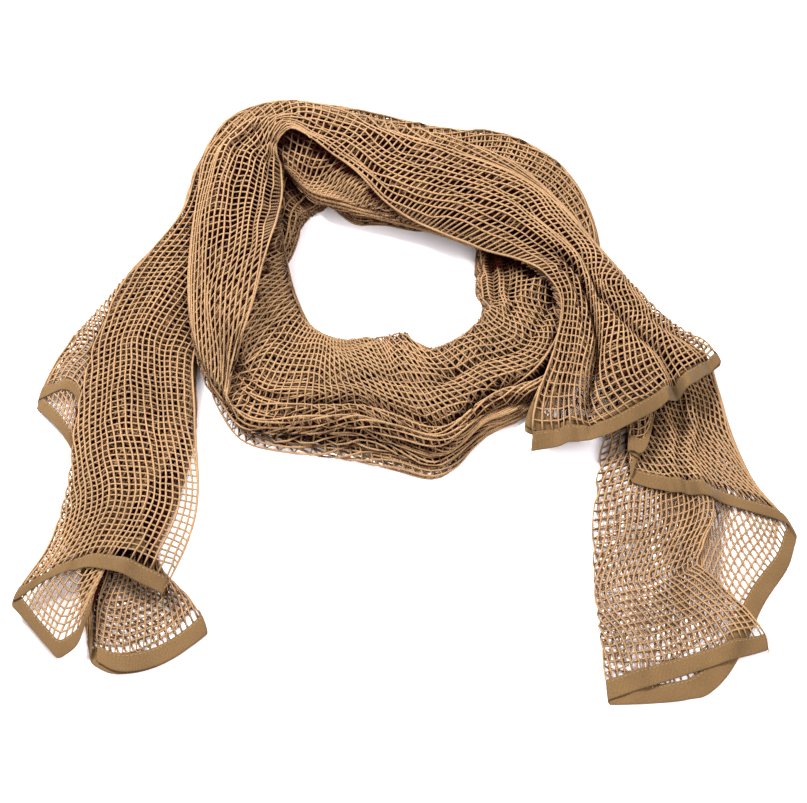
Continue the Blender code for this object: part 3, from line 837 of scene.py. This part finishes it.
def woven_tape(look):
    """Cotton binding tape, plain woven and dyed olive: matt, with fine ribs across it.

    The ribs are 0.5 mm apart in the real tape and drawn RIB_PITCH apart, so that they show; their
    grooves carry painted shade and their crests a painted highlight.
    """
    material, tree, shader = plain_material("woven cotton tape", {
        "Roughness": 0.88, "IOR": 1.5, "Specular IOR Level": 0.25, "Sheen Weight": 0.15,
        "Sheen Roughness": 0.5})
    lay = add(tree, "Attribute", attribute_name="lay").outputs["Vector"]
    ribs = add(tree, "TexWave", {"Vector": lay, "Scale": math.pi / 10 / RIB_PITCH,
                                 "Distortion": 1.5, "Detail": 1.0, "Detail Scale": 0.6},
               wave_type="BANDS", bands_direction="X").outputs["Fac"]
    slubs = add(tree, "TexNoise", {"Vector": lay, "Scale": 0.9, "Detail": 3.0, "Roughness": 0.6})
    place = add(tree, "TexCoord").outputs["Object"]
    wear = add(tree, "TexNoise", {"Vector": place, "Scale": 1 / (DYE_PATCH * MM), "Detail": 4.0})
    # The ribs' grooves are darkened and their crests lightened: painted shade and highlight; slubs
    # and wear are the tape's own uneven tone
    vary(tree, shader, look.tape_colour, (ribs, 0, 1, 0.78, 1.10),
         (slubs.outputs["Fac"], *NOISE_SPAN, 0.78, 1.18),
         (wear.outputs["Fac"], *NOISE_SPAN, 0.86, 1.12))
    bump = add(tree, "Bump", {"Strength": 0.45, "Distance": 0.12 * MM, "Height": ribs})
    tree.links.new(bump.outputs[0], shader.inputs["Normal"])
    return material


def sewing_thread(look):
    """Polyester sewing thread, a shade lighter than the tape: smoother, so it shines a little."""
    material, tree, shader = plain_material("polyester sewing thread", {
        "Roughness": 0.6, "IOR": 1.5, "Sheen Weight": 0.2})
    place = add(tree, "TexCoord").outputs["Object"]
    twist = add(tree, "TexNoise", {"Vector": place, "Scale": 1 / (FLUFF_SIZE * MM), "Detail": 1.0})
    vary(tree, shader, look.thread_colour, (twist.outputs["Fac"], *NOISE_SPAN, 0.8, 1.1))
    return material


def backdrop_paper(look):
    """Matt white backdrop paper: even, with a faint cloud so that it isn't dead flat."""
    material, tree, shader = plain_material("matt backdrop paper", {
        "Roughness": 0.9, "Specular IOR Level": 0.1})
    place = add(tree, "TexCoord").outputs["Object"]
    cloud = add(tree, "TexNoise", {"Vector": place, "Scale": 3.0})
    vary(tree, shader, look.floor_colour, (cloud.outputs["Fac"], 0, 1, 0.985, 1.0))
    return material


# ------------------------ settings and operators

def colour_setting(name, description, hex_colour):
    """A colour with that hex default."""
    return bpy.props.FloatVectorProperty(name=name, description=description, subtype="COLOR",
                                         default=linear(hex_colour), min=0, max=1)


def length_setting(name, description, default, low, high):
    """A length in metres, from millimetres."""
    return bpy.props.FloatProperty(name=name, description=description, unit="LENGTH",
                                   default=default * MM, min=low * MM, max=high * MM,
                                   precision=5)


def light_setting(name, description, default, unit="NONE"):
    """A power or strength of a light."""
    return bpy.props.FloatProperty(name=name, description=description, unit=unit,
                                   default=default, min=0)


class NetSettings(bpy.types.PropertyGroup):
    yarn_colour: colour_setting("Yarn", "Colour of yarn in the open", "#987D61")
    # Painted shade: the darker colour given to yarn deep in the bundle and in its valleys
    shaded_colour: colour_setting("Shaded yarn", "Colour of yarn deep in the bundle", "#3C1206")
    long_radius: length_setting(
        "Lengthwise yarn", "Radius of the lengthwise yarns", 0.86, 0.3, 1.2)
    cross_radius: length_setting("Cross yarn", "Radius of the cross yarns", 0.78, 0.3, 1.2)


class BindingSettings(bpy.types.PropertyGroup):
    tape_colour: colour_setting("Tape", "Colour of the binding tape", "#6B563C")
    thread_colour: colour_setting("Thread", "Colour of the sewing thread", "#94794F")


class StageSettings(bpy.types.PropertyGroup):
    floor_colour: colour_setting("Floor", "Colour of the backdrop paper", "#EDE8EB")
    key_power: light_setting("Key light", "Power of the main light", 70, "POWER")
    fill_power: light_setting("Fill light", "Power of the second light", 35, "POWER")
    sky: light_setting("Sky", "Strength of the light from all round", 0.75)


class SCARF_OT_net(bpy.types.Operator):
    """Lays the net: lengthwise yarns over cross yarns on the folded cloth, in strips"""

    bl_idname = "scarf.net"
    bl_label = "Net"

    def execute(self, context):
        look = context.scene.scarf_net
        yarn = spun_yarn(look)
        points, normals, opens = crossings()
        rows, columns = opens.shape
        thin, lifted, thick = np.ones(rows), np.ones(rows), np.ones(columns)
        thin[[0, -1]] = YARN_END_THIN
        lifted[[0, -1]] = 0
        thick[[0, -1]] = SELVEDGE_YARN
        edges = np.linspace(0, MESHES_ACROSS, NET_PIECES + 1).astype(int)
        for number, (first, last) in enumerate(zip(edges[:-1], edges[1:]), start=1):
            own = slice(first, last + (last == MESHES_ACROSS))
            crossed = slice(first, last + 1)
            long_yarns = tubes(
                points[:, own].swapaxes(0, 1), normals[:, own].swapaxes(0, 1),
                look.long_radius / MM * thick[own, None] * thin, YARN_LIFT * lifted)
            cross_yarns = tubes(points[1:-1, crossed], normals[1:-1, crossed],
                                look.cross_radius / MM, -YARN_LIFT)
            piece = mesh_piece(f"net_{number}", [
                (*long_yarns, np.repeat(opens[:, own].T, SIDES), yarn),
                (*cross_yarns, np.repeat(opens[1:-1, crossed], SIDES), yarn)], [yarn])
            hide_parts("net")
        return {"FINISHED"}


class SCARF_OT_bindings(bpy.types.Operator):
    """Sews a folded tape over each short end of the net"""

    bl_idname = "scarf.bindings"
    bl_label = "Bindings"

    def execute(self, context):
        look = context.scene.scarf_bindings
        cloth_tape, thread = woven_tape(look), sewing_thread(look)
        from_hem = TAPE_PROFILE["from_hem"]
        seam_row = int(np.argmin(np.abs(from_hem - SEAM_AT)))
        pucker = (TAPE_PUCKER * wander((STATIONS + 1, 1), 8, (PUCKER_STATIONS, 1))
                  * (from_hem / BINDING_WIDTH)[:, None, None])
        for name, node, hem, inwards in (("tape_left", "binding_left", 0, 1),
                                         ("tape_right", "binding_right", CLOTH_LENGTH, -1)):
            middle = np.array([hem + inwards * BINDING_WIDTH / 2])
            v = spread(middle, np.linspace(0, 1, STATIONS + 1)[None])[0]
            points = cloth((hem + inwards * from_hem)[:, None], v)
            normals = facing(points)
            points = points + pucker * normals
            sewn = stitches(points[seam_row], normals[seam_row],
                            TAPE_PROFILE["half"][seam_row])
            parts = [(*tape(points, normals), 1.0, cloth_tape), (*sewn, 1.0, thread)]
            for end, beside, seed in ((0, 1, 5), (-1, -2, 6)):
                outwards = points[0, end] - points[-1, end]
                sideways = points[0, end] - points[0, beside]
                for row in (0, seam_row):
                    loose = frays(points[row, end], outwards, sideways, seed + row)
                    parts.append((*loose, 1.0, thread))
            piece = mesh_piece(name, parts, [cloth_tape, thread])
            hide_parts(node)
        return {"FINISHED"}


class SCARF_OT_stage(bpy.types.Operator):
    """Lays the backdrop paper, hangs the lights and sets up the camera"""

    bl_idname = "scarf.stage"
    bl_label = "Stage"

    def execute(self, context):
        look = context.scene.scarf_stage
        link = context.scene.collection.objects.link
        reach = FLOOR_SIZE / 2
        mesh = bpy.data.meshes.new("floor")
        mesh.from_pydata([(-reach, -reach, 0), (reach, -reach, 0), (reach, reach, 0),
                          (-reach, reach, 0)], [], [(0, 1, 2, 3)])
        mesh.materials.append(backdrop_paper(look))
        floor = bpy.data.objects.new("floor", mesh)
        link(floor)

        for name, place, size, power in (("key", KEY_PLACE, KEY_SIZE, look.key_power),
                                         ("fill", FILL_PLACE, FILL_SIZE, look.fill_power)):
            light = bpy.data.lights.new(name, "AREA")
            light.size = size
            light.energy = power
            lamp = bpy.data.objects.new(name, light)
            lamp.location = place
            lamp.rotation_euler = (-lamp.location).to_track_quat("-Z", "Y").to_euler()
            link(lamp)
        world = bpy.data.worlds.new("studio")
        world.use_nodes = True
        background = world.node_tree.nodes["Background"].inputs
        background["Color"].default_value = (1, 1, 1, 1)
        background["Strength"].default_value = look.sky
        context.scene.world = world
        context.scene.view_settings.view_transform = "Standard"
        context.scene.view_settings.look = "High Contrast"

        eye = bpy.data.cameras.new("camera")
        eye.sensor_width = 36
        eye.lens = eye.sensor_width * CAMERA_DISTANCE / (VIEW_WIDTH * PIXEL_SIZE)
        eye.shift_x = (VIEW_WIDTH / 2 - CENTRE_X) / VIEW_WIDTH
        eye.shift_y = (CENTRE_Y - VIEW_HEIGHT / 2) / VIEW_WIDTH
        camera = bpy.data.objects.new("camera", eye)
        camera.location = (-BOX_CENTRE_X * MM, -BOX_CENTRE_Y * MM
                           - math.cos(CAMERA_ELEVATION) * CAMERA_DISTANCE,
                           math.sin(CAMERA_ELEVATION) * CAMERA_DISTANCE)
        camera.rotation_euler = (math.pi / 2 - CAMERA_ELEVATION, 0, 0)
        link(camera)
        context.scene.camera = camera
        return {"FINISHED"}


class SCARF_PT_panel(bpy.types.Panel):
    bl_label = "Net Scarf"
    bl_idname = "SCARF_PT_panel"
    bl_space_type = "VIEW_3D"
    bl_region_type = "UI"
    bl_category = "Net Scarf"

    def draw(self, context):
        scene = context.scene
        for settings, operator in ((scene.scarf_net, SCARF_OT_net),
                                   (scene.scarf_bindings, SCARF_OT_bindings),
                                   (scene.scarf_stage, SCARF_OT_stage)):
            box = self.layout.box()
            for key in settings.__annotations__:
                box.prop(settings, key)
            box.operator(operator.bl_idname)


CLASSES = (NetSettings, BindingSettings, StageSettings, SCARF_OT_net, SCARF_OT_bindings,
           SCARF_OT_stage, SCARF_PT_panel)


def register():
    for cls in CLASSES:
        bpy.utils.register_class(cls)
    bpy.types.Scene.scarf_net = bpy.props.PointerProperty(type=NetSettings)
    bpy.types.Scene.scarf_bindings = bpy.props.PointerProperty(type=BindingSettings)
    bpy.types.Scene.scarf_stage = bpy.props.PointerProperty(type=StageSettings)


def unregister():
    del bpy.types.Scene.scarf_stage, bpy.types.Scene.scarf_bindings, bpy.types.Scene.scarf_net
    for cls in reversed(CLASSES):
        bpy.utils.unregister_class(cls)


def main():
    register()
    bpy.ops.scarf.net()
    bpy.ops.scarf.bindings()
    bpy.ops.scarf.stage()


if __name__ == "__main__":
    main()
